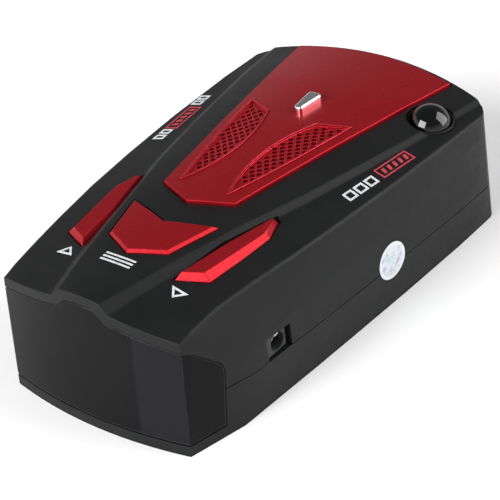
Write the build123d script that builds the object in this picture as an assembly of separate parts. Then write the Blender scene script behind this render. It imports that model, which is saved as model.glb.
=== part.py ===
from build123d import *
import math
import os

os.makedirs("parts", exist_ok=True)

# Dashboard radar detector, millimetres, +Z up, flat underside on Z = 0.
# While modelling, Y counts from the lower display corners towards the far
# (windscreen) end.  Every node is moved by HALF_WAY when it is written, so the
# origin is the middle of the underside.  +X is the side with the power socket.

# ---------------------------------------------------------------- dimensions
FRONT_BOW = 2.6        # the display end bows out this far in the middle
FAR_END = 105.0        # far end, measured on the centre line at the underside
HALF_WAY = (FAR_END - FRONT_BOW) / 2
FRONT_RADIUS = 104.8   # plan radius of the display end
FAR_RADIUS = 101.7     # plan radius of the far end
FRONT_RAKE = 0.095     # the display end leans back this much per mm of height
FAR_RAKE = 0.045       # the far end leans in this much per mm of height
SHELL = 1.8            # housing wall
SEAM_FRONT = 10.9      # height of the parting line at the display end
SEAM_FALL = 0.02       # its fall per mm towards the far end
SEAM_GAP = 0.10        # half of the visible parting line
CHEEK_LENGTH = 14.6    # the front corners are cut back over this length
CHEEK_DEPTH = 4.0      # and by this much each side
FRONT_HALF = 23.14     # half width across the lower display corners

PANEL_RISE = 0.7       # red panel above the ridge
PANEL_SEAT = 0.8       # depth of its seat below the ridge
PANEL_GAP = 0.3        # dark gap round it
MESH_RISE = 0.45       # grille mesh above the ridge
MESH_PITCH = 2.3       # spacing of its openings along a lane
MESH_LANE = 0.95       # spacing of the staggered lanes
BROW = 2.3             # height of the brow over the window
WINDOW_FOOT = 2.7      # lower edge of the window
WINDOW_BACK = 10.4     # how far it wraps along each cheek
WINDOW_WALL = 1.8
WINDOW_GAP = 0.22      # gap round the window, twice as wide along its foot

BOARD_TOP = 10.8       # upper face of the main board
BOARD_THICK = 1.6
TRAVEL = 0.6           # stroke of the three keys
KEY_GAP = 0.3          # running gap round each key
KEY_FLOOR = 25.4       # underside of the cover pads the side keys stop against
MENU_FLOOR = 28.0      # underside of the pad the middle key stops against
PLUNGER_TOP = 15.3     # top of the switch plungers, keys released
PLUNGER_LENGTH = 2.5
KEY_CREST_Z = 30.2     # top of the side keys
KEY_EDGE_Z = 28.7      # where their bevels begin
FLANGE = 0.9           # the keys' flange under the cover pads
STEM_RADIUS = 1.5      # stem between a key and its plunger
SWITCH_TOP = 14.3      # top of the switch bodies
SIDE_KEY = (14.8, 28.0)  # axis of the side keys: x, y
MENU_KEY = (0.0, 22.0)   # axis of the middle key

JACK_Y = 24.6          # power socket centre along the side
JACK_Z = 13.1          # and its height
JACK_FACE = 27.3       # x of its front face, just inside the housing wall
JACK_BACK = 18.4
JACK_BORE = 4.1        # bore for the plug
JACK_PIN = 1.3         # centre pin
JACK_FOOT = 1.8        # the pin's foot, held in the socket's back wall

SPEAKER_Y = 52.0       # loudspeaker axis
SPEAKER_RADIUS = 13.4

DOME_AT = (23.8, 87.2, 28.7)  # middle of the sensor dome's seat
DOME_TILT = 8.0               # leans outwards, degrees
DOME_RADIUS = 4.6             # largest radius, just under the ring's lip
DOME_SPHERE = 4.7             # radius of its outer surface
DOME_DROP = 1.2               # centre of that surface below the seat
DOME_WALL = 0.8
DOME_FOOT = 4.3               # radius of the thin foot in the ring's groove
RING_RADIUS = 5.2

STICKER_AT = (60.3, 11.0)     # y, z of the seal across the parting line
STICKER_RADIUS = 4.25

# Cross-sections of the body, display end first: y; wall x; wall crease z;
# shoulder edge x, z; ridge foot x, z; ridge edge x, z; crown z.
SECTIONS = (
    (-7.0, 25.2, 15.2, 22.4, 23.4, 5.6, 27.0, 3.4, 29.4, 29.9),
    (0.0, 25.9, 15.3, 22.8, 25.2, 7.3, 28.0, 5.1, 30.1, 30.6),
    (6.0, 26.5, 15.5, 23.2, 26.7, 9.0, 28.7, 6.8, 30.5, 30.9),
    (13.0, 27.05, 15.8, 23.8, 27.7, 10.9, 29.1, 8.6, 30.8, 31.15),
    (22.0, 27.7, 16.6, 25.2, 28.05, 13.1, 29.4, 10.9, 30.95, 31.4),
    (34.0, 28.6, 17.9, 27.1, 28.15, 16.0, 29.45, 14.0, 30.95, 31.65),
    (48.0, 29.5, 18.9, 28.7, 28.1, 19.7, 29.2, 18.0, 30.5, 31.8),
    (65.0, 30.5, 20.0, 30.2, 27.9, 23.2, 28.7, 21.6, 29.9, 31.9),
    (85.0, 31.4, 21.4, 31.2, 27.5, 26.9, 28.0, 25.4, 29.0, 31.6),
    (108.0, 31.7, 21.6, 31.6, 26.6, 29.9, 27.0, 28.6, 27.9, 30.7),
)


# ------------------------------------------------------------------- helpers
def save(name, shape):
    """Write one node, moved so that the origin is the middle of the underside."""
    export_step(Pos(0, -HALF_WAY, 0) * shape, "parts/" + name + ".step")


def prism(points, low, high):
    """Upright prism over a plan outline."""
    return Pos(0, 0, low) * extrude(make_face(Polyline(*points, close=True)), high - low)


def post(x, y, low, high, radius):
    return Pos(x, y, (low + high) / 2) * Cylinder(radius, high - low)


def block(x0, x1, y0, y1, z0, z1):
    centre = Pos((x0 + x1) / 2, (y0 + y1) / 2, (z0 + z1) / 2)
    return centre * Box(x1 - x0, y1 - y0, z1 - z0)


def mirrored(points):
    return [(-x, y) for x, y in reversed(points)]


def seam_height(y):
    return SEAM_FRONT - SEAM_FALL * y


# --------------------------------------------------------------- body shapes
def section(row, inset):
    """One cross-section of the body, its walls and top moved in by inset."""
    y, wall, wall_z, edge, edge_z, foot, foot_z, ridge, ridge_z, crown = row
    low = max(inset, 0)
    crown_rise = crown - ridge_z
    near = ridge - 2.0
    near_z = crown - crown_rise * (near / ridge) ** 2
    right = [
        (wall - 0.4 - inset, low),
        (wall + 0.1 - inset, seam_height(y)),
        (wall - inset, wall_z),
        (edge - inset, edge_z - inset),
        (foot - inset * 0.6, foot_z - inset),
        (ridge - inset * 0.6, ridge_z - inset),
        (near - inset * 0.6, near_z - inset),
    ]
    left = [(-x, z) for x, z in reversed(right)]
    with BuildSketch(Plane.XZ.offset(-y)) as sketch:
        with BuildLine():
            FilletPolyline(*right, radius=(0, 0, 1.0, 1.3, 1.2))
            ThreePointArc(right[-1], (0, crown - inset), left[0])
            FilletPolyline(*left, radius=(1.2, 1.3, 1.0, 0, 0))
            Line(left[-1], right[0])
        make_face()
    return sketch.sketch


def narrower(row, amount):
    """The same cross-section with a narrower ridge."""
    y, wall, wall_z, edge, edge_z, foot, foot_z, ridge, ridge_z, crown = row
    fall = (foot_z - edge_z) / (edge - foot)
    foot_z = foot_z + amount * fall
    return y, wall, wall_z, edge, edge_z, foot - amount, foot_z, ridge - amount, ridge_z, crown


def long_body(inset, narrow=0):
    """The lofted body before its two ends are shaped."""
    return loft([section(narrower(row, narrow), inset) for row in SECTIONS], ruled=True)


def leaning(points, lean_x, lean_y):
    """Tall prism whose walls lean by the given run per mm of height."""
    face = make_face(Polyline(*points, close=True))
    tall = 45.0
    return extrude(Pos(-2 * lean_x, -2 * lean_y, -2) * face, tall, dir=(lean_x, lean_y, 1))


def leaning_face(face, lean_y):
    return extrude(Pos(0, -2 * lean_y, -2) * face, 45.0, dir=(0, lean_y, 1))


def ends(inset):
    """Space between the display end, the far end and the two front cheeks."""
    reach = 40.0
    with BuildSketch() as front:
        with BuildLine():
            bow = FRONT_RADIUS - math.sqrt(FRONT_RADIUS**2 - reach**2)
            y0 = inset - FRONT_BOW
            ThreePointArc((-reach, y0 + bow), (0, y0), (reach, y0 + bow))
            Polyline((reach, y0 + bow), (reach, 140), (-reach, 140), (-reach, y0 + bow))
        make_face()
    with BuildSketch() as far:
        with BuildLine():
            bow = FAR_RADIUS - math.sqrt(FAR_RADIUS**2 - 28.0**2)
            y1 = FAR_END - inset
            corner = [
                (28.0 - inset, y1 - bow),
                (29.4 - inset, y1 - bow - 0.9),
                (30.6 - inset, y1 - bow - 2.35),
                (33.0 - inset, y1 - bow - 8.0),
                (reach, y1 - bow - 22.0),
                (reach, -40.0),
            ]
            ThreePointArc((-corner[0][0], y1 - bow), (0, y1), corner[0])
            Polyline(*corner, *mirrored(corner))
        make_face()
    space = leaning_face(front.sketch, FRONT_RAKE) & leaning_face(far.sketch, -FAR_RAKE)
    slope = CHEEK_DEPTH / CHEEK_LENGTH
    back = 60.0
    for side in (1, -1):
        x0 = FRONT_HALF - inset - slope * 20
        x1 = FRONT_HALF - inset + slope * back
        outline = [(side * x0, -20), (side * x1, back), (side * 60, back), (side * 60, 140)]
        outline += [(-side * 60, 140), (-side * 60, -20)]
        space = space & leaning(outline, -0.03 * side, 0)
    return space


def shaped_body(inset, end_inset=None):
    """The housing, its long walls moved in by inset and its ends by end_inset."""
    if end_inset is None:
        end_inset = inset
    return long_body(inset) & ends(end_inset)


def below_seam(offset_up):
    """Everything under the parting line, moved up by offset_up."""
    angle = -math.degrees(math.atan(SEAM_FALL))
    slab = Pos(0, 0, -20) * Box(120, 300, 40)
    return Pos(0, 0, SEAM_FRONT + offset_up) * Rot(angle, 0, 0) * slab


def crown_space(rise):
    """Space under the crowned ridge, moved up by rise; as wide as the ridge."""
    faces = []
    for row in SECTIONS:
        y, ridge, ridge_z, crown = row[0], row[7], row[8], row[9]
        with BuildSketch(Plane.XZ.offset(-y)) as sketch:
            with BuildLine():
                ThreePointArc((-ridge, ridge_z + rise), (0, crown + rise), (ridge, ridge_z + rise))
                Polyline((ridge, ridge_z + rise), (ridge, 5), (-ridge, 5), (-ridge, ridge_z + rise))
            make_face()
        faces.append(sketch.sketch)
    return loft(faces, ruled=True)


OUTER = shaped_body(0)
CAVITY = shaped_body(SHELL)
HALF_WALL = shaped_body(0.9, 1.3)
TONGUE_CORE = shaped_body(1.0, 1.4)
SKIN_CORE = shaped_body(1.0, 1.35)


# ------------------------------------------------------------- plan outlines
def panel_face(grow):
    """Plan of the red panel: a point towards the display, an arc at the far end."""
    with BuildSketch() as sketch:
        with BuildLine():
            Polyline((-20.5, 100.3), (-9.4, 38.0), (0, 34.15), (9.4, 38.0), (20.5, 100.3))
            ThreePointArc((20.5, 100.3), (0, 102.4), (-20.5, 100.3))
        make_face()
        if grow:
            offset(amount=grow, kind=Kind.INTERSECTION)
    return sketch.sketch


def blade_inner(y):
    """Distance of a grille's inner edge from the centre line."""
    return 2.95 + 0.014 * (y - 54.6) ** 2


def blade_outer(y):
    """Distance of its outer edge from the centre line."""
    return 10.3 + 0.213 * (y - 55.5) - 0.0021 * (y - 55.5) ** 2


def grille_face(side, grow):
    """Plan of one blade-shaped loudspeaker grille."""
    tip = 39.6 - (4.2 if grow < 0 else 1.0) * grow
    far_in = 70.3 + 1.1 * grow
    far_out = 73.2 + 1.1 * grow
    inner = [(side * (blade_inner(y) - grow), y) for y in (tip, 55.0, far_in)]
    outer = [(side * (blade_outer(y) + grow), y) for y in (far_out, 57.0, tip)]
    with BuildSketch() as sketch:
        with BuildLine():
            ThreePointArc(*inner)
            Line(inner[-1], outer[0])
            ThreePointArc(*outer)
            Line(outer[-1], inner[0])
        make_face()
    return sketch.sketch


MENU_OUTLINE = [
    (0, 15.1), (7.7, 18.7), (11.0, 30.4), (0, 26.8), (-11.0, 30.4), (-7.7, 18.7),
]
KEY_BASE = [
    (12.0, 14.8), (18.5, 17.8), (19.4, 26.0), (20.1, 34.9), (18.5, 40.0), (17.5, 40.7), (13.9, 28.0),
]
KEY_CREST = [
    (12.9, 16.2), (17.0, 18.1), (18.2, 26.0), (19.3, 34.0), (18.2, 38.8), (17.5, 39.3), (14.8, 28.0),
]


def tall(face, low, high):
    return extrude(Pos(0, 0, low) * face, high - low)


def outline_face(points, side, grow, kind=Kind.INTERSECTION):
    face = make_face(Polyline(*[(side * x, y) for x, y in points], close=True))
    if not grow:
        return face
    return offset(face, grow, kind=kind)


# -------------------------------------------------------------------- window
def window_zone(gap):
    """Room for the window: under the brow, in front of its slanting rear edge."""
    under_brow = Pos(0, 0, gap - BROW) * long_body(0, 1.2)
    low = WINDOW_FOOT - 2 * gap
    back = WINDOW_BACK + gap
    profile = [(-20, low), (back - 1.8, low), (back, 14.7), (back - 0.1, 15.8), (back - 0.6, 17.0)]
    profile += [(back - 7.4, 23.4), (back - 7.4, 40), (-20, 40)]
    side = make_face(Polyline(*[(0, y, z) for y, z in profile], close=True))
    return under_brow & extrude(side, 60, both=True)


def display_window():
    """Curved window that wraps round both front corners."""
    skin = OUTER - shaped_body(WINDOW_WALL)
    return skin & window_zone(0)


# ----------------------------------------------------------------- fasteners
CASE_SCREWS = ((19.6, 11.4), (-19.6, 11.4), (25.6, 92.5), (-25.6, 92.5))
BOARD_SCREWS = ((18.8, 17.9), (-18.8, 17.9), (21.5, 83.0), (-21.5, 83.0))


def cross_slot(radius, depth, top):
    """Cross recess whose mouth is at height top."""
    bar = Box(radius * 1.5, 0.5, depth) + Box(0.5, radius * 1.5, depth)
    return Pos(0, 0, top - depth / 2) * bar


def case_screw():
    head = Pos(0, 0, 1.9) * Cylinder(1.9, 1.4)
    head = fillet(head.edges().group_by(Axis.Z)[0], 0.4)
    shank = Pos(0, 0, 7.9) * Cylinder(1.0, 10.6)
    return head + shank - Pos(0, 0, 1.55) * (Box(2.6, 0.5, 0.9) + Box(0.5, 2.6, 0.9))


def board_screw():
    head = Pos(0, 0, BOARD_TOP + 0.65) * Cylinder(1.8, 1.3)
    head = fillet(head.edges().group_by(Axis.Z)[-1], 0.5)
    shank = Pos(0, 0, BOARD_TOP - 2.6) * Cylinder(0.85, 5.2)
    return head + shank - cross_slot(1.8, 0.7, BOARD_TOP + 1.3)


# -------------------------------------------------------------------- covers
def dome_frame():
    return Pos(*DOME_AT) * Rot(0, DOME_TILT, 0)


def dome_post(low, high, radius):
    return dome_frame() * (Pos(0, 0, (low + high) / 2) * Cylinder(radius, high - low))


def jack_opening():
    """Notch in the side wall, open down to the parting line."""
    y = JACK_Y
    return block(22, 40, y - 3.5, y + 3.4, seam_height(y) - 0.6, JACK_Z + 2.5)


def top_cover():
    """Upper half of the housing, with every opening and the pads inside it."""
    cover = OUTER - CAVITY - below_seam(SEAM_GAP)
    cover -= window_zone(WINDOW_GAP)
    # rebate for the tongue of the bottom cover
    cover -= (HALF_WALL & below_seam(1.5))
    # pads the keys stop against, loudspeaker ring, dome cup, screw posts
    for side in (1, -1):
        cover += tall(outline_face(KEY_BASE, side, 1.7, Kind.ARC), KEY_FLOOR, 30) & SKIN_CORE
    cover += tall(outline_face(MENU_OUTLINE, 1, 1.6, Kind.ARC), MENU_FLOOR, 32) & SKIN_CORE
    ring = post(0, SPEAKER_Y, 26.2, 31.5, SPEAKER_RADIUS + 0.2) - post(0, SPEAKER_Y, 20, 40, 12.0)
    cover += ring & SKIN_CORE
    cover += dome_post(-4.5, 0.5, 6.9) & SKIN_CORE
    for x, y in CASE_SCREWS:
        cover += post(x, y, 6.1, 32, 2.6) & SKIN_CORE
        cover -= post(x, y, 5, 14.5, 1.0)
    # seat of the red panel and the sound openings under the grilles
    cover -= tall(panel_face(PANEL_GAP), 20, 40) - crown_space(-PANEL_SEAT)
    for side in (1, -1):
        cover -= tall(grille_face(side, -1.0), 20, 40)
    # key wells
    for side in (1, -1):
        cover -= tall(outline_face(KEY_BASE, side, KEY_GAP), 20, 40)
    cover -= tall(outline_face(MENU_OUTLINE, 1, KEY_GAP), 20, 40)
    # dome seat, its bore and the pocket for the sensor board
    cover -= dome_post(-0.6, 6, RING_RADIUS + 0.1)
    cover -= dome_post(-6, 6, 4.5)
    cover -= dome_post(-6, -2.6, 5.7)
    cover -= jack_opening()
    cover -= laser_slot(0.1)
    return cover


def laser_slot(gap):
    return block(-9 - gap, 9 + gap, 90, 120, 21 - gap, 27 + gap)


def laser_window():
    """Dark window in the far end, in front of the laser sensor."""
    return (OUTER - shaped_body(1.5)) & laser_slot(0) & block(-30, 30, 96, 120, 0, 40)


def bottom_cover():
    """Lower half, with the tongue that centres the top cover, and the screw posts."""
    cover = (OUTER - CAVITY) & below_seam(-SEAM_GAP)
    tongue = TONGUE_CORE - CAVITY
    tongue = (tongue & below_seam(1.2)) - below_seam(-SEAM_GAP)
    cover += tongue
    cover -= window_zone(WINDOW_GAP)
    cover -= block(22, 40, JACK_Y - 3.5, JACK_Y + 3.4, seam_height(JACK_Y) - SEAM_GAP, 20)
    for x, y in BOARD_SCREWS:
        cover += post(x, y, 1.0, BOARD_TOP - BOARD_THICK, 2.6)
        cover -= post(x, y, 4.0, 12, 0.85)
    for x, y in CASE_SCREWS:
        cover += post(x, y, 0, 6.0, 3.2) & OUTER
        cover -= post(x, y, -1, 2.6, 2.15)
        cover -= post(x, y, -1, 8, 1.3)
    return cover


# ------------------------------------------------------------ panel, grilles
def upper_rim(shape):
    """Outer boundary of the upward faces."""
    edges = []
    for face in shape.faces():
        if face.normal_at().Z > 0.5:
            edges.extend(face.edges())
    return [e for e in edges if sum((e @ 0.5 - other @ 0.5).length < 1e-4 for other in edges) == 1]


def red_panel():
    """Raised panel on the ridge, cut through for the two grilles."""
    plate = tall(panel_face(0), 20, 40) & crown_space(PANEL_RISE)
    plate -= crown_space(0.05 - PANEL_SEAT)
    plate = chamfer(upper_rim(plate), 0.12)
    for side in (1, -1):
        plate -= tall(grille_face(side, 0.1), 20, 40)
    return plate


def grille(side):
    """Perforated insert with a thin raised rim."""
    plate = tall(grille_face(side, 0), 20, 40) & crown_space(MESH_RISE)
    plate -= crown_space(0.05 - PANEL_SEAT)
    rim = tall(grille_face(side, 0), 20, 40) - tall(grille_face(side, -0.4), 20, 40)
    rim = (rim & crown_space(PANEL_RISE + 0.25)) - crown_space(0.05 - PANEL_SEAT)
    inside = grille_face(side, -1.0).faces()[0]
    holes = []
    for lane in range(-5, 6):
        for step in range(18):
            y = 41.0 + MESH_PITCH * (step + 0.5 * (lane % 2))
            x = side * ((blade_inner(y) + blade_outer(y)) / 2 + MESH_LANE * lane)
            if inside.is_inside((x, y, 0)):
                holes.append(Pos(x, y, 30) * Rot(0, 0, -side * 10) * diamond())
    return plate + rim - holes


def diamond():
    """One opening of the grille mesh."""
    face = make_face(Polyline((0, -0.92), (0.68, 0), (0, 0.92), (-0.68, 0), close=True))
    return extrude(face, 5, both=True)


def chrome_bar():
    """Small raised bar, widening towards the far end."""
    bar = prism([(-0.95, 72.0), (0.95, 72.0), (1.75, 79.1), (-1.75, 79.1)], 31.0, 34.0)
    bar = fillet(bar.edges().filter_by(Axis.Z), 0.8)
    bar = fillet(bar.edges().group_by(Axis.Z)[-1], 0.55)
    return bar - crown_space(PANEL_RISE)


# ---------------------------------------------------------------------- keys
def side_key(side):
    """Long bevelled key on a flange, with a stem down to its plunger."""
    base = outline_face(KEY_BASE, side, 0)
    crest = outline_face(KEY_CREST, side, 0)
    cap = tall(base, KEY_FLOOR - 0.3, KEY_EDGE_Z)
    cap += loft([Pos(0, 0, KEY_EDGE_Z) * base, Pos(0, 0, KEY_CREST_Z) * crest], ruled=True)
    cap += tall(outline_face(KEY_BASE, side, FLANGE, Kind.ARC), KEY_FLOOR - 1.2, KEY_FLOOR - 0.25)
    x, y = SIDE_KEY
    return cap + post(side * x, y, PLUNGER_TOP, KEY_FLOOR - 1.0, STEM_RADIUS)


def menu_key():
    """Middle key, its top following the crown of the housing."""
    cap = tall(outline_face(MENU_OUTLINE, 1, 0), MENU_FLOOR - 0.3, 40) & crown_space(0.6)
    cap = chamfer(upper_rim(cap), 0.55)
    cap += tall(outline_face(MENU_OUTLINE, 1, FLANGE, Kind.ARC), MENU_FLOOR - 1.1, MENU_FLOOR - 0.25)
    x, y = MENU_KEY
    return cap + post(x, y, PLUNGER_TOP, MENU_FLOOR - 1.0, STEM_RADIUS)


KEY_SPOTS = {
    "up": (-SIDE_KEY[0], SIDE_KEY[1]),
    "menu": MENU_KEY,
    "down": SIDE_KEY,
}


def plunger(x, y):
    return post(x, y, PLUNGER_TOP - PLUNGER_LENGTH, PLUNGER_TOP, 1.7)


def tactile_switch(x, y):
    """Square switch body with a well for its plunger's stroke."""
    floor = PLUNGER_TOP - PLUNGER_LENGTH - TRAVEL - 0.4
    body = block(x - 3, x + 3, y - 3, y + 3, BOARD_TOP, SWITCH_TOP)
    body = chamfer(body.edges().group_by(Axis.Z)[-1], 0.3)
    return body - post(x, y, floor, 20, 1.8)


# ------------------------------------------------------------------ sensors
def dome_ring():
    """Ring flush with the shoulder, its sleeve in the cover's bore, a groove for the dome's foot."""
    ring = Pos(0, 0, -0.2) * Cylinder(RING_RADIUS, 0.8)
    ring = fillet(ring.edges().group_by(Axis.Z)[-1], 0.25)
    ring += Pos(0, 0, -1.5) * Cylinder(4.4, 1.8)
    ring -= Pos(0, 0, 1.7) * Cylinder(DOME_RADIUS + 0.1, 4.0)
    ring -= Pos(0, 0, -0.4) * Cylinder(DOME_FOOT, 0.4)
    ring -= Cylinder(3.5, 12)
    return dome_frame() * ring


def sensor_dome():
    """Hollow round dome with a thin foot."""
    centre = Pos(0, 0, -DOME_DROP)
    dome = (centre * Sphere(DOME_SPHERE)) & (Pos(0, 0, 2.0) * Cylinder(DOME_RADIUS, 4.6))
    foot = Pos(0, 0, -0.45) * Cylinder(DOME_FOOT, 0.3)
    return dome_frame() * (dome + foot - centre * Sphere(DOME_SPHERE - DOME_WALL))


def sensor_board():
    return dome_post(-4.2, -3.2, 5.6)


def dome_sensor():
    eye = Pos(0, 0, -2.6) * Cylinder(2.4, 1.2)
    eye += (Pos(0, 0, -2.4) * Sphere(1.9)) & (Pos(0, 0, 0) * Cylinder(2.4, 4.2))
    return dome_frame() * eye


def laser_sensor():
    body = block(-4, 4, 92.5, 97.5, 18.0, 26.0)
    body = chamfer(body.edges().filter_by(Axis.Y).group_by(Axis.Z)[-1], 0.5)
    return body - horn_body()


def laser_lens():
    bulb = Pos(0, 97.5, 23.0) * Sphere(2.4)
    return bulb & block(-5, 5, 97.5, 101, 18, 28)


# ------------------------------------------------------------ power socket
def power_jack():
    """Socket housing: bore for the plug, hole for the pin's foot, slot for the contact."""
    y, z = JACK_Y, JACK_Z
    body = block(JACK_BACK, JACK_FACE, y - 3.35, y + 2.65, BOARD_TOP, z + 2.35)
    body = fillet(body.edges().filter_by(Axis.X).group_by(Axis.Z)[-1], 0.6)
    body -= Pos(24.4, y, z) * Rot(0, 90, 0) * Cylinder(JACK_BORE / 2, 10)
    body -= Pos(20, y, z) * Rot(0, 90, 0) * Cylinder(JACK_FOOT / 2, 4)
    body -= block(18, 20, y - 0.7, y + 0.7, z + 1.35, z + 1.6)
    return body


def jack_pin():
    y, z = JACK_Y, JACK_Z
    pin = Pos(22.6, y, z) * Rot(0, 90, 0) * Cylinder(JACK_PIN / 2, 6.8)
    pin = fillet(pin.edges().group_by(Axis.X)[-1], 0.3)
    return pin + Pos(JACK_BACK + 0.5, y, z) * Rot(0, 90, 0) * Cylinder(JACK_FOOT / 2, 1.0)


def jack_spring():
    y, z = JACK_Y, JACK_Z
    return block(JACK_BACK, JACK_FACE - 0.1, y - 0.7, y + 0.7, z + 1.35, z + 1.6)


# ------------------------------------------------------------------- boards
def main_board():
    """Main circuit board, drilled for its screws."""
    outline = [(21.5, 15.4), (24.2, 20), (24.8, 40), (25.0, 85), (22.0, 88.5), (22.0, 97.5)]
    board = prism(outline + mirrored(outline), BOARD_TOP - BOARD_THICK, BOARD_TOP)
    for x, y in BOARD_SCREWS:
        board -= post(x, y, 5, 15, 1.1)
    return board


def display_board():
    board = block(-20.6, 20.6, 5.6, 6.8, 3.6, 23.8)
    return chamfer(board.edges().filter_by(Axis.Y), 1.5)


def led_display():
    """Display module with its row of windows facing the driver."""
    module = block(-15, 15, 3.2, 5.6, 7.5, 20.5)
    for index in range(3):
        x = -9 + 9 * index
        module -= block(x - 3.4, x + 3.4, 3.0, 3.5, 9.5, 18.5)
    for index in range(2):
        x = -13.7 + 27.4 * index
        for level in range(4):
            z = 10.2 + 2.5 * level
            module -= block(x - 0.7, x + 0.7, 3.0, 3.5, z - 0.7, z + 0.7)
    return module


def board_header():
    return block(-7, 7, 6.8, 18.2, BOARD_TOP, 13.3)


def main_chip():
    return block(-5, 5, 36, 46, BOARD_TOP, BOARD_TOP + 1.4)


def capacitor(x, y):
    can = post(x, y, BOARD_TOP, BOARD_TOP + 5.4, 2.5)
    return fillet(can.edges().group_by(Axis.Z)[-1], 0.4)


def rf_shield():
    shell = block(-12, 12, 57, 71.4, BOARD_TOP, BOARD_TOP + 4.2)
    shell = fillet(shell.edges().group_by(Axis.Z)[-1], 0.5)
    return shell - block(-11.6, 11.6, 57.4, 71.0, BOARD_TOP - 1, BOARD_TOP + 3.8)


def horn_body():
    """Outer shape of the horn."""
    low = BOARD_TOP
    back = Plane.XZ.offset(-72)
    mouth = Plane.XZ.offset(-99.4)
    return loft([
        back * Pos(0, low + 3.0) * Rectangle(14, 6.0),
        mouth * Pos(0, low + 4.6) * Rectangle(38, 9.2),
    ], ruled=True)


def horn_antenna():
    """Cast waveguide horn, its mouth towards the far end."""
    low = BOARD_TOP
    throat = Plane.XZ.offset(-76)
    beyond = Plane.XZ.offset(-99.9)
    flare = loft([
        throat * Pos(0, low + 3.0) * Rectangle(6, 3.0),
        beyond * Pos(0, low + 4.6) * Rectangle(36, 6.8),
    ], ruled=True)
    return horn_body() - flare


# ------------------------------------------------------------- loudspeaker
def turned(points, close=True):
    """Solid of revolution about the loudspeaker axis."""
    face = make_face(Polyline(*[(r, 0, z) for r, z in points], close=True))
    return Pos(0, SPEAKER_Y, 0) * revolve(face, Axis.Z)


def speaker_basket():
    """Pressed frame with six windows."""
    frame = turned([
        (12.2, 26.2), (13.4, 26.2), (13.4, 25.2), (12.6, 25.2),
        (7.6, 20.55), (5.0, 20.55), (5.0, 21.1), (7.2, 21.1), (12.2, 25.45),
    ])
    for index in range(6):
        turn = Pos(0, SPEAKER_Y, 0) * Rot(0, 0, 60 * index) * Pos(9.9, 0, 22.9)
        frame -= turn * Box(2.6, 5.4, 2.2)
    return frame


def speaker_magnet():
    return turned([
        (0, 17.0), (6.6, 17.0), (6.6, 20.55), (3.9, 20.55),
        (3.9, 18.0), (2.9, 18.0), (2.9, 20.55), (0, 20.55),
    ])


def speaker_cone():
    """Cone, dust cap and voice coil in one piece."""
    cone = turned([
        (11.7, 25.6), (11.7, 25.9), (11.0, 26.1), (10.4, 25.6), (3.6, 22.0),
        (2.4, 22.9), (0, 23.3), (0, 23.0), (2.2, 22.6), (3.2, 21.7), (3.2, 19.2),
        (3.6, 19.2), (3.6, 21.6), (10.6, 25.2),
    ])
    return cone


# ---------------------------------------------------------- printed details
def skin_film():
    return shaped_body(-0.08) - OUTER


FILM = skin_film()


def film_shape(points, low):
    """Printed shape that lies on the housing, seen in plan."""
    return prism(points, low, 45) & FILM


def slanted(side, x0, x1, y0, y1, lean=0.11):
    """Slanted bar on a shoulder; it leans with the housing side."""
    return [
        (side * (x0 + lean * (y0 - 54)), y0),
        (side * (x1 + lean * (y0 - 54)), y0 - 0.7),
        (side * (x1 + lean * (y1 - 54)), y1 - 0.7),
        (side * (x0 + lean * (y1 - 54)), y1),
    ]


def outlined(points, width):
    """Printed outline of the given width, inside a plan shape."""
    face = make_face(Polyline(*points, close=True))
    face = face - offset(face, -width, kind=Kind.INTERSECTION)
    return extrude(Pos(0, 0, 20) * face, 25) & FILM


def key_marks():
    """Generic arrow, bars, arrow in front of the three keys."""
    up = outlined([(-16.2, 11.5), (-12.0, 11.5), (-14.1, 13.9)], 0.45)
    down = outlined([(12.9, 13.2), (17.1, 12.8), (14.8, 10.6)], 0.45)
    shapes = up + down
    for index in range(3):
        y = 11.3 + 1.0 * index
        shapes += film_shape([(-3.8, y), (3.8, y), (3.8, y + 0.42), (-3.8, y + 0.42)], 20)
    return shapes


def white_marks():
    """Rows of small outlined panels."""
    panels = []
    for index in range(3):
        start = 54.4 + 3.2 * index
        panels.append(slanted(1, 23.6, 26.2, start, start + 2.6))
    for index in range(2):
        start = 55.0 + 2.5 * index
        panels.append(slanted(-1, 24.5, 26.9, start, start + 1.9))
        panels.append(slanted(-1, 25.0, 27.4, start + 16.0, start + 17.9))
    shapes = outlined(panels[0], 0.48)
    for points in panels[1:]:
        shapes += outlined(points, 0.48)
    return shapes


def red_marks():
    """Outlined boxes with slanting ticks, one on each shoulder."""
    right = slanted(1, 22.9, 26.2, 65.0, 74.8)
    left = slanted(-1, 24.0, 26.9, 60.0, 70.0)
    shapes = outlined(right, 0.3) + outlined(left, 0.3)
    for index in range(5):
        y = 66.3 + 1.7 * index
        shapes += film_shape(slanted(1, 23.8, 25.3, y, y + 0.75), 20)
        y = 61.4 + 1.7 * index
        shapes += film_shape(slanted(-1, 24.9, 26.0, y, y + 0.75), 20)
    return shapes


def seal_sticker():
    """Thin round seal that follows the side wall."""
    y, z = STICKER_AT
    disc = Pos(30, y, z) * Rot(0, 90, 0) * Cylinder(STICKER_RADIUS, 20)
    return (shaped_body(-0.12) - OUTER) & disc


# -------------------------------------------------------------------- nodes
def several(make, spots):
    """Identical pieces in one node."""
    return Compound([make(x, y).solid() for x, y in spots])


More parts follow.
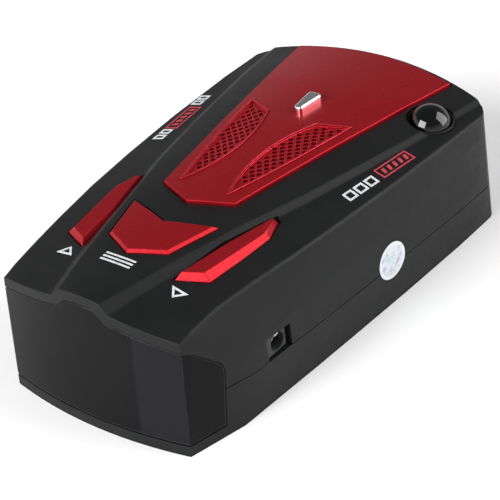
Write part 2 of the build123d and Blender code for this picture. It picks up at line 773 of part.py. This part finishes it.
def build():
    save("top_cover", top_cover())
    save("bottom_cover", bottom_cover())
    save("display_window", display_window())
    save("laser_window", laser_window())
    save("red_panel", red_panel())
    save("grille_right", grille(1))
    save("grille_left", grille(-1))
    save("chrome_bar", chrome_bar())
    save("up_key", side_key(-1))
    save("down_key", side_key(1))
    save("menu_key", menu_key())
    for name, (x, y) in KEY_SPOTS.items():
        save(name + "_plunger", plunger(x, y))
    save("tactile_switches", several(tactile_switch, KEY_SPOTS.values()))
    save("dome_ring", dome_ring())
    save("sensor_dome", sensor_dome())
    save("sensor_board", sensor_board())
    save("dome_sensor", dome_sensor())
    save("laser_sensor", laser_sensor())
    save("laser_lens", laser_lens())
    save("power_jack", power_jack())
    save("jack_pin", jack_pin())
    save("jack_spring", jack_spring())
    save("main_board", main_board())
    save("display_board", display_board())
    save("led_display", led_display())
    save("board_header", board_header())
    save("main_chip", main_chip())
    save("capacitors", several(capacitor, ((16, 40), (-16, 40), (19, 66))))
    save("rf_shield", rf_shield())
    save("horn_antenna", horn_antenna())
    save("speaker_basket", speaker_basket())
    save("speaker_magnet", speaker_magnet())
    save("speaker_cone", speaker_cone())
    save("case_screws", Compound([(Pos(x, y, 0) * case_screw()).solid() for x, y in CASE_SCREWS]))
    save("board_screws", Compound([(Pos(x, y, 0) * board_screw()).solid() for x, y in BOARD_SCREWS]))
    save("seal_sticker", seal_sticker())
    save("key_marks", key_marks())
    save("white_marks", white_marks())
    save("red_marks", red_marks())


build()
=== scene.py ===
import math

import bpy
from mathutils import Matrix, Vector


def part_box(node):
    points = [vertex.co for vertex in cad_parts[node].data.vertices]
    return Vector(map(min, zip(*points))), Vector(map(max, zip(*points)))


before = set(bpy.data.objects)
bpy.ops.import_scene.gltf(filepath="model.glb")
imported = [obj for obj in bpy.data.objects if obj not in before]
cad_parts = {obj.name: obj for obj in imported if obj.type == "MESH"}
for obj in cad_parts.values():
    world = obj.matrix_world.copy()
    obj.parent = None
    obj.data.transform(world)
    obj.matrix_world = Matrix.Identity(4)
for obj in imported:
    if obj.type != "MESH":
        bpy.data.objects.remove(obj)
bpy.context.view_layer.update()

scene = bpy.context.scene
MM = 0.001

# Camera: degrees round the upright axis, above the floor and about its own
# axis, then its place in millimetres along its own axes from the point AIM.
SENSOR_WIDTH = 36.0
LENS = 127.18
CAMERA_TURN = 42.2196
CAMERA_RISE = 34.1327
CAMERA_ROLL = -8.2839
CAMERA_AIM = (0.0, -51.2, 0.0)
CAMERA_RIGHT = 29.5162
CAMERA_UP = 33.7535
CAMERA_BACK = 353.2257

# Shading, metres unless stated.
SMOOTH_DEGREES = 28.0      # edges sharper than this stay crisp
WELD_DISTANCE = 0.000001
BODY_ROUNDING = 0.00028    # how far the shading of an edge is softened
LACQUER_ROUNDING = 0.00022
DOME_ROUNDING = 0.00015
CHROME_ROUNDING = 0.00012
SMALL_ROUNDING = 0.0001
SEAM_SHADE_REACH = 0.0008        # seams and gaps narrower than this get painted shade
BODY_GLOSS = 0.16          # specular levels
WINDOW_GLOSS = 0.09
LACQUER_GLOSS = 0.12
DOME_GLOSS = 0.5
REFLECTION_STRIP_SPAN = 0.03          # the window's strip of painted reflection is placed within this X range
SEAL_RADIUS = 0.0044

BLACK = (0.0, 0.0, 0.0)
WHITE = (1.0, 1.0, 1.0)

# Colour sockets of a Mix node.
MIX_FIRST, MIX_SECOND, MIX_RESULT = 6, 7, 2

# Studio, metres and watts: name, place, width, height, power.
LIGHT_AIM = (0.0, 0.0, 0.015)
SOFTBOXES = (
    ("front_softbox", (-0.19, -0.76, 0.46), 0.62, 0.52, 13.0),
    ("side_softbox", (0.70, 0.49, 0.49), 0.81, 0.95, 12.0),
    ("left_fill", (-0.85, -0.52, 0.32), 1.2, 0.5, 1.3),
)
SKY = ((0.06, 0.95), (0.42, 0.20))  # height and grey, near the horizon and above
FLOOR_HALF = 6.0


# ------------------------------------------------------------ camera
def make_camera():
    """Looks down on the display end from the power socket's side."""
    data = bpy.data.cameras.new("view_camera")
    data.sensor_width = SENSOR_WIDTH
    data.lens = LENS
    data.clip_start = 0.01
    data.clip_end = 20.0
    camera = bpy.data.objects.new("view_camera", data)
    scene.collection.objects.link(camera)
    turn = math.radians(CAMERA_TURN)
    rise = math.radians(CAMERA_RISE)
    roll = math.radians(CAMERA_ROLL)
    back = Vector((
        math.sin(turn) * math.cos(rise),
        -math.cos(turn) * math.cos(rise),
        math.sin(rise),
    ))
    level = Vector((math.cos(turn), math.sin(turn), 0.0))
    upright = back.cross(level)
    right = math.cos(roll) * level + math.sin(roll) * upright
    up = -math.sin(roll) * level + math.cos(roll) * upright
    place = Vector(CAMERA_AIM) + right * CAMERA_RIGHT + up * CAMERA_UP + back * CAMERA_BACK
    axes = Matrix((right, up, back)).transposed()
    camera.matrix_world = Matrix.Translation(place * MM) @ axes.to_4x4()
    scene.camera = camera


# ------------------------------------------------------------ material helpers
class Finish:
    """A procedural material under construction."""

    def __init__(self, name):
        self.material = bpy.data.materials.new(name)
        self.material.use_nodes = True
        self.tree = self.material.node_tree
        self.tree.nodes.clear()
        self.shader = self.add("ShaderNodeBsdfPrincipled")
        output = self.add("ShaderNodeOutputMaterial")
        self.join(self.shader.outputs["BSDF"], output.inputs["Surface"])
        self.place = self.add("ShaderNodeTexCoord").outputs["Object"]
        self.normal = None

    def add(self, kind, **values):
        node = self.tree.nodes.new(kind)
        for key, value in values.items():
            setattr(node, key, value)
        return node

    def join(self, source, target):
        self.tree.links.new(source, target)

    def set(self, **values):
        """Constant values, set straight on the shader."""
        for key, value in values.items():
            self.shader.inputs[key.replace("_", " ")].default_value = value

    def noise(self, scale, detail=3.0, rough=0.6, stretch=None):
        source = self.place
        if stretch:
            mapping = self.add("ShaderNodeMapping")
            mapping.inputs["Scale"].default_value = stretch
            self.join(source, mapping.inputs["Vector"])
            source = mapping.outputs["Vector"]
        node = self.add("ShaderNodeTexNoise")
        node.inputs["Scale"].default_value = scale
        node.inputs["Detail"].default_value = detail
        node.inputs["Roughness"].default_value = rough
        self.join(source, node.inputs["Vector"])
        return node.outputs["Fac"]

    def cells(self, scale, feature="F1"):
        node = self.add("ShaderNodeTexVoronoi", feature=feature)
        node.inputs["Scale"].default_value = scale
        self.join(self.place, node.inputs["Vector"])
        return node

    def maths(self, operation, first, second, **values):
        node = self.add("ShaderNodeMath", operation=operation, **values)
        self.join(first, node.inputs[0])
        self.join(second, node.inputs[1])
        return node.outputs[0]

    def span(self, source, low, high, to_low=0.0, to_high=1.0):
        """Carries the range low to high over to the range to_low to to_high."""
        node = self.add("ShaderNodeMapRange")
        node.inputs["From Min"].default_value = low
        node.inputs["From Max"].default_value = high
        node.inputs["To Min"].default_value = to_low
        node.inputs["To Max"].default_value = to_high
        self.join(source, node.inputs["Value"])
        return node.outputs["Result"]

    def ramp(self, source, *stops):
        node = self.add("ShaderNodeValToRGB")
        band = node.color_ramp
        while len(band.elements) < len(stops):
            band.elements.new(0.5)
        for element, (at, colour) in zip(band.elements, stops):
            element.position = at
            element.color = (*colour, 1.0)
        self.join(source, node.inputs["Fac"])
        return node.outputs["Color"]

    def mix(self, factor, first, second):
        node = self.add("ShaderNodeMix", data_type="RGBA")
        self.join(factor, node.inputs["Factor"])
        for index, value in ((MIX_FIRST, first), (MIX_SECOND, second)):
            if isinstance(value, tuple):
                node.inputs[index].default_value = (*value, 1.0)
            else:
                self.join(value, node.inputs[index])
        return node.outputs[MIX_RESULT]

    def colour(self, source):
        self.join(source, self.shader.inputs["Base Color"])

    def roughness(self, source):
        self.join(source, self.shader.inputs["Roughness"])

    def rounding(self, radius):
        """Normals that run smoothly round the edges, and a mask of those edges."""
        bevel = self.add("ShaderNodeBevel", samples=4)
        bevel.inputs["Radius"].default_value = radius
        face = self.add("ShaderNodeNewGeometry")
        dot = self.add("ShaderNodeVectorMath", operation="DOT_PRODUCT")
        self.join(bevel.outputs["Normal"], dot.inputs[0])
        self.join(face.outputs["Normal"], dot.inputs[1])
        self.edge = self.span(dot.outputs["Value"], 0.995, 0.86)
        self.normal = bevel.outputs["Normal"]
        return self

    def painted_shade_mask(self, distance):
        """Mask that is 1 on open faces and falls to 0 inside gaps and seams, where shade is
        painted into the colour.
        """
        node = self.add("ShaderNodeAmbientOcclusion", samples=8)
        node.inputs["Distance"].default_value = distance
        return self.span(node.outputs["AO"], 0.30, 0.80)

    def bump(self, source, height, strength):
        node = self.add("ShaderNodeBump")
        node.inputs["Distance"].default_value = height
        node.inputs["Strength"].default_value = strength
        self.join(source, node.inputs["Height"])
        if self.normal:
            self.join(self.normal, node.inputs["Normal"])
        self.join(node.outputs["Normal"], self.shader.inputs["Normal"])


# ------------------------------------------------------------ materials
def soft_black(name, tone=1.0):
    """Soft-touch moulded plastic: fine grain, faint cloudiness, paler edges that are partly rubbed
    wear and partly a painted highlight, and painted shade in seams and gaps.
    """
    f = Finish(name).rounding(BODY_ROUNDING)
    dark = tuple(c * tone for c in (0.0060, 0.0063, 0.0065))
    pale = tuple(c * tone for c in (0.0088, 0.0091, 0.0093))
    wear_and_highlight = tuple(c * tone for c in (0.020, 0.020, 0.021))
    cloud = f.noise(scale=38.0, detail=4.0, rough=0.62)
    body = f.ramp(cloud, (0.35, dark), (0.68, pale))
    # Paler edges in patches: partly rubbed wear, partly a painted highlight along the ridges.
    wear_and_highlight_patches = f.span(f.noise(scale=260.0, detail=5.0, rough=0.7), 0.42, 0.66)
    body = f.mix(f.maths("MULTIPLY", f.edge, wear_and_highlight_patches), body, wear_and_highlight)
    # Painted shade: inside seams and gaps the colour goes nearly black.
    outside_painted_shade = f.painted_shade_mask(SEAM_SHADE_REACH)
    f.colour(f.mix(outside_painted_shade, (0.0004, 0.0004, 0.0004), body))
    # Roughness 0.40 to 0.50 on open faces, rising to 1 inside the seams.
    uneven = f.span(f.noise(scale=420.0, detail=4.0), 0.3, 0.7, 1.30, 1.40)
    smoother = f.span(outside_painted_shade, 0.0, 1.0, 0.0, 0.90)
    f.roughness(f.maths("SUBTRACT", uneven, smoother, use_clamp=True))
    f.bump(f.noise(scale=5200.0, detail=2.0, rough=0.5), height=0.00003, strength=0.55)
    f.set(Specular_IOR_Level=BODY_GLOSS)
    return f.material


def smoked_window(name):
    """Polished smoked plastic with a trace of orange peel, one paler strip of painted reflection
    and painted highlights along its edges.
    """
    f = Finish(name).rounding(BODY_ROUNDING)
    smoke = f.noise(scale=24.0, detail=2.0)
    tint = f.ramp(smoke, (0.3, (0.0022, 0.0022, 0.0026)), (0.7, (0.0040, 0.0040, 0.0046)))
    parts = f.add("ShaderNodeSeparateXYZ")
    f.join(f.place, parts.inputs["Vector"])
    # Painted reflection: a paler strip across the front, standing for the lit floor seen in the
    # window.
    painted_reflection_strip = f.ramp(
        f.span(parts.outputs["X"], 0.0, REFLECTION_STRIP_SPAN),
        (0.0, BLACK), (0.396, BLACK), (0.422, WHITE), (0.764, WHITE), (0.770, BLACK),
    )
    tint = f.mix(painted_reflection_strip, tint, (0.0082, 0.0079, 0.0100))
    # Painted highlight: the window's edges are paler.
    f.colour(f.mix(f.edge, tint, (0.034, 0.034, 0.037)))
    f.roughness(f.span(f.noise(scale=900.0), 0.35, 0.65, 0.05, 0.09))
    f.bump(f.noise(scale=110.0, detail=2.0, rough=0.4), height=0.00001, strength=0.35)
    f.set(Specular_IOR_Level=WINDOW_GLOSS)
    return f.material


def metallic_red(name, edge):
    """Satin red lacquer over fine metallic flake; edge is the colour of a painted highlight along
    its edges.
    """
    f = Finish(name).rounding(LACQUER_ROUNDING)
    flake = f.span(f.cells(scale=9000.0).outputs["Color"], 0.2, 0.9)
    base = f.ramp(flake, (0.0, (0.275, 0.0068, 0.0115)), (1.0, (0.350, 0.0092, 0.0150)))
    # Painted highlight: the edges are paler, toward the colour edge.
    f.colour(f.mix(f.edge, base, edge))
    f.roughness(f.span(f.noise(scale=500.0, detail=4.0), 0.3, 0.7, 0.26, 0.33))
    f.bump(f.noise(scale=1400.0, detail=2.0, rough=0.5), height=0.000003, strength=0.25)
    f.set(Metallic=0.55, Specular_IOR_Level=LACQUER_GLOSS)
    return f.material


def bright_chrome(name):
    """Polished plating with a slight haze."""
    f = Finish(name).rounding(CHROME_ROUNDING)
    haze = f.noise(scale=300.0)
    f.colour(f.ramp(haze, (0.3, (0.74, 0.75, 0.77)), (0.7, (0.82, 0.83, 0.85))))
    f.roughness(f.span(f.noise(scale=1500.0, detail=4.0), 0.35, 0.7, 0.07, 0.15))
    f.bump(f.noise(scale=700.0, detail=2.0), height=0.000006, strength=0.2)
    f.set(Metallic=1.0)
    return f.material


def gloss_black(name):
    """Polished, nearly black plastic."""
    f = Finish(name).rounding(DOME_ROUNDING)
    cloud = f.noise(scale=60.0, detail=2.0)
    f.colour(f.ramp(cloud, (0.3, (0.0008, 0.0010, 0.0010)), (0.7, (0.0016, 0.0018, 0.0019))))
    f.roughness(f.span(f.noise(scale=1200.0, detail=4.0), 0.4, 0.75, 0.025, 0.06))
    f.bump(f.noise(scale=160.0, detail=2.0), height=0.000006, strength=0.2)
    f.set(Specular_IOR_Level=DOME_GLOSS)
    return f.material


def plain_plastic(name, dark, pale, rough=0.5):
    """Moulded plastic with a faint mottle."""
    f = Finish(name).rounding(SMALL_ROUNDING)
    f.colour(f.ramp(f.noise(scale=400.0, detail=4.0), (0.3, dark), (0.7, pale)))
    f.roughness(f.span(f.noise(scale=900.0), 0.3, 0.7, rough - 0.06, rough + 0.06))
    f.bump(f.noise(scale=3000.0), height=0.00002, strength=0.4)
    return f.material


def plain_metal(name, dark, pale, rough, stretch=(1.0, 1.0, 1.0)):
    """Bare metal, streaked where stretch draws its mottle out."""
    f = Finish(name).rounding(SMALL_ROUNDING)
    streak = f.noise(scale=1800.0, detail=4.0, rough=0.65, stretch=stretch)
    f.colour(f.ramp(streak, (0.3, dark), (0.7, pale)))
    f.roughness(f.span(streak, 0.3, 0.7, rough - 0.08, rough + 0.1))
    f.bump(streak, height=0.00001, strength=0.4)
    f.set(Metallic=1.0)
    return f.material


def circuit_board(name):
    """Green solder resist over copper tracks."""
    f = Finish(name)
    tracks = f.cells(scale=420.0, feature="DISTANCE_TO_EDGE")
    field = f.span(tracks.outputs["Distance"], 0.05, 0.09)
    f.colour(f.mix(field, (0.025, 0.20, 0.085), (0.008, 0.085, 0.035)))
    f.roughness(f.span(f.noise(scale=700.0), 0.3, 0.7, 0.25, 0.38))
    f.bump(field, height=0.00002, strength=0.5)
    f.set(Coat_Weight=0.3, Coat_Roughness=0.15)
    return f.material


def clear_lens(name):
    """Clear, faintly violet moulded lens."""
    f = Finish(name)
    cloud = f.noise(scale=300.0, detail=2.0)
    f.colour(f.ramp(cloud, (0.3, (0.42, 0.38, 0.46)), (0.7, (0.5, 0.46, 0.54))))
    f.roughness(f.span(f.noise(scale=900.0, detail=2.0), 0.3, 0.7, 0.03, 0.07))
    f.bump(f.noise(scale=200.0, detail=2.0), height=0.000004, strength=0.2)
    f.set(Transmission_Weight=0.7, IOR=1.5)
    return f.material


def paper_cone(name):
    """Pressed pulp with loose fibres."""
    f = Finish(name)
    fibre = f.noise(scale=2600.0, detail=6.0, rough=0.75, stretch=(1.0, 0.35, 1.0))
    f.colour(f.ramp(fibre, (0.3, (0.022, 0.020, 0.018)), (0.7, (0.055, 0.050, 0.044))))
    f.roughness(f.span(fibre, 0.3, 0.7, 0.8, 0.95))
    f.bump(fibre, height=0.00006, strength=0.7)
    return f.material


def printed(name, dark, pale):
    """Screen print, a little uneven, over the grain of the plastic."""
    f = Finish(name)
    patchy = f.noise(scale=2200.0, detail=5.0, rough=0.7)
    f.colour(f.ramp(patchy, (0.32, dark), (0.55, pale)))
    f.roughness(f.span(f.noise(scale=900.0), 0.3, 0.7, 0.42, 0.56))
    f.bump(f.noise(scale=4200.0, detail=2.0), height=0.00001, strength=0.4)
    return f.material


def foil_seal(name):
    """Silver-white foil with a plain rim round a loose speckle."""
    f = Finish(name)
    low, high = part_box("seal_sticker")
    offset = f.add("ShaderNodeVectorMath", operation="SUBTRACT")
    offset.inputs[1].default_value = (low + high) / 2
    f.join(f.place, offset.inputs[0])
    flat = f.add("ShaderNodeVectorMath", operation="MULTIPLY")
    flat.inputs[1].default_value = (0.0, 1.0, 1.0)
    f.join(offset.outputs["Vector"], flat.inputs[0])
    radius = f.add("ShaderNodeVectorMath", operation="LENGTH")
    f.join(flat.outputs["Vector"], radius.inputs[0])
    fleck = f.noise(scale=620.0, detail=4.0)
    speckle = f.ramp(fleck, (0.36, (0.33, 0.36, 0.42)), (0.56, (0.55, 0.58, 0.62)))
    patch = f.span(f.noise(scale=130.0, detail=1.0), 0.52, 0.66)
    tint = f.mix(patch, speckle, (0.46, 0.58, 0.60))
    middle = f.ramp(
        f.span(radius.outputs["Value"], 0.0, SEAL_RADIUS),
        (0.0, WHITE), (0.80, WHITE), (0.83, BLACK),
    )
    f.colour(f.mix(middle, (0.62, 0.64, 0.66), tint))
    f.roughness(f.span(f.noise(scale=500.0), 0.3, 0.7, 0.26, 0.42))
    f.bump(f.noise(scale=1500.0), height=0.00001, strength=0.4)
    f.set(Metallic=0.15, Coat_Weight=0.3)
    return f.material


# Each material with the nodes that wear it.
FINISHES = (
    (soft_black("soft_touch_black"), ("top_cover", "bottom_cover", "dome_ring")),
    # The three red finishes differ only in their painted edge highlight.
    (metallic_red("satin_metallic_red", (0.40, 0.010, 0.018)), ("up_key", "down_key", "menu_key")),
    (
        plain_plastic("switch_plastic", (0.012, 0.012, 0.012), (0.022, 0.022, 0.022)),
        ("tactile_switches", "laser_sensor", "led_display", "board_header", "main_chip"),
    ),
    (
        plain_metal("bright_metal", (0.45, 0.45, 0.45), (0.62, 0.62, 0.63), 0.3, (1.0, 0.2, 1.0)),
        ("capacitors", "rf_shield", "speaker_basket", "case_screws", "board_screws"),
    ),
    (circuit_board("circuit_board"), ("main_board", "display_board", "sensor_board")),
    (gloss_black("gloss_black"), ("sensor_dome", "dome_sensor")),
    (smoked_window("smoked_window"), ("display_window", "laser_window")),
    # Panel and grille rims: the same red with a weaker and a stronger painted edge highlight.
    (metallic_red("panel_metallic_red", (0.30, 0.007, 0.013)), ("red_panel",)),
    (metallic_red("rim_metallic_red", (0.80, 0.045, 0.070)), ("grille_right", "grille_left")),
    (bright_chrome("bright_chrome"), ("chrome_bar",)),
    (soft_black("socket_plastic", tone=4.0), ("power_jack",)),
    (
        plain_plastic("white_plastic", (0.55, 0.55, 0.53), (0.66, 0.66, 0.64)),
        ("up_plunger", "menu_plunger", "down_plunger"),
    ),
    (clear_lens("clear_lens"), ("laser_lens",)),
    (
        plain_metal("contact_metal", (0.42, 0.41, 0.39), (0.58, 0.57, 0.54), 0.3),
        ("jack_pin", "jack_spring"),
    ),
    (
        plain_metal("cast_metal", (0.36, 0.36, 0.37), (0.48, 0.48, 0.50), 0.45),
        ("horn_antenna",),
    ),
    (
        plain_plastic("magnet_grey", (0.03, 0.03, 0.032), (0.05, 0.05, 0.053), 0.55),
        ("speaker_magnet",),
    ),
    (paper_cone("cone_paper"), ("speaker_cone",)),
    (foil_seal("foil_seal"), ("seal_sticker",)),
    (
        printed("white_print", (0.34, 0.35, 0.37), (0.60, 0.61, 0.63)),
        ("key_marks", "white_marks"),
    ),
    (printed("red_print", (0.26, 0.02, 0.03), (0.50, 0.045, 0.06)), ("red_marks",)),
)


# ------------------------------------------------------------ smooth shading
def smooth_modifier_group():
    """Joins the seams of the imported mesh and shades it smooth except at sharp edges."""
    group = bpy.data.node_groups.new("smooth_by_angle", "GeometryNodeTree")
    for direction in ("INPUT", "OUTPUT"):
        group.interface.new_socket("Geometry", in_out=direction, socket_type="NodeSocketGeometry")
    nodes = group.nodes
    source = nodes.new("NodeGroupInput")
    target = nodes.new("NodeGroupOutput")
    weld = nodes.new("GeometryNodeMergeByDistance")
    weld.inputs["Distance"].default_value = WELD_DISTANCE
    angle = nodes.new("GeometryNodeInputMeshEdgeAngle")
    sharp = nodes.new("FunctionNodeCompare")
    sharp.data_type = "FLOAT"
    sharp.operation = "GREATER_THAN"
    sharp.inputs[1].default_value = math.radians(SMOOTH_DEGREES)
    faces = nodes.new("GeometryNodeSetShadeSmooth")
    faces.domain = "FACE"
    faces.inputs["Shade Smooth"].default_value = True
    edges = nodes.new("GeometryNodeSetShadeSmooth")
    edges.domain = "EDGE"
    edges.inputs["Shade Smooth"].default_value = False
    links = group.links
    links.new(source.outputs[0], weld.inputs["Geometry"])
    links.new(weld.outputs["Geometry"], faces.inputs["Geometry"])
    links.new(faces.outputs["Geometry"], edges.inputs["Geometry"])
    links.new(angle.outputs["Unsigned Angle"], sharp.inputs[0])
    links.new(sharp.outputs["Result"], edges.inputs["Selection"])
    links.new(edges.outputs["Geometry"], target.inputs[0])
    return group


def dress_cad_nodes():
    """Gives every node its material and its smooth shading."""
    smooth = smooth_modifier_group()
    for material, names in FINISHES:
        for name in names:
            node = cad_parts[name]
            node.data.materials.clear()
            node.data.materials.append(material)
            modifier = node.modifiers.new("smooth_by_angle", "NODES")
            modifier.node_group = smooth


# ------------------------------------------------------------ studio
def make_floor():
    """Wide pale floor under the object."""
    mesh = bpy.data.meshes.new("studio_floor")
    half = FLOOR_HALF
    corners = [(-half, -half, 0), (half, -half, 0), (half, half, 0), (-half, half, 0)]
    mesh.from_pydata(corners, [], [(0, 1, 2, 3)])
    floor = bpy.data.objects.new("studio_floor", mesh)
    scene.collection.objects.link(floor)
    f = Finish("pale_floor")
    cloud = f.noise(scale=3.0, detail=2.0)
    f.colour(f.ramp(cloud, (0.3, (0.86, 0.86, 0.86)), (0.7, (0.88, 0.88, 0.88))))
    f.set(Roughness=0.9, Specular_IOR_Level=0.1)
    mesh.materials.append(f.material)


def add_softbox(name, place, width, height, power):
    """Rectangular soft light, turned towards the object."""
    data = bpy.data.lights.new(name, "AREA")
    data.shape = "RECTANGLE"
    data.size = width
    data.size_y = height
    data.energy = power
    lamp = bpy.data.objects.new(name, data)
    scene.collection.objects.link(lamp)
    lamp.location = place
    towards = Vector(LIGHT_AIM) - Vector(place)
    lamp.rotation_euler = towards.to_track_quat("-Z", "Y").to_euler()


def make_light():
    """Surroundings that are bright at the horizon, and the softboxes."""
    world = bpy.data.worlds.new("studio_world")
    world.use_nodes = True
    tree = world.node_tree
    direction = tree.nodes.new("ShaderNodeTexCoord")
    parts = tree.nodes.new("ShaderNodeSeparateXYZ")
    fade = tree.nodes.new("ShaderNodeValToRGB")
    tree.links.new(direction.outputs["Generated"], parts.inputs["Vector"])
    tree.links.new(parts.outputs["Z"], fade.inputs["Fac"])
    tree.links.new(fade.outputs["Color"], tree.nodes["Background"].inputs["Color"])
    for element, (at, grey) in zip(fade.color_ramp.elements, SKY):
        element.position = at
        element.color = (grey, grey, grey, 1.0)
    scene.world = world
    for softbox in SOFTBOXES:
        add_softbox(*softbox)
    scene.view_settings.view_transform = "Standard"


make_camera()
dress_cad_nodes()
make_floor()
make_light()
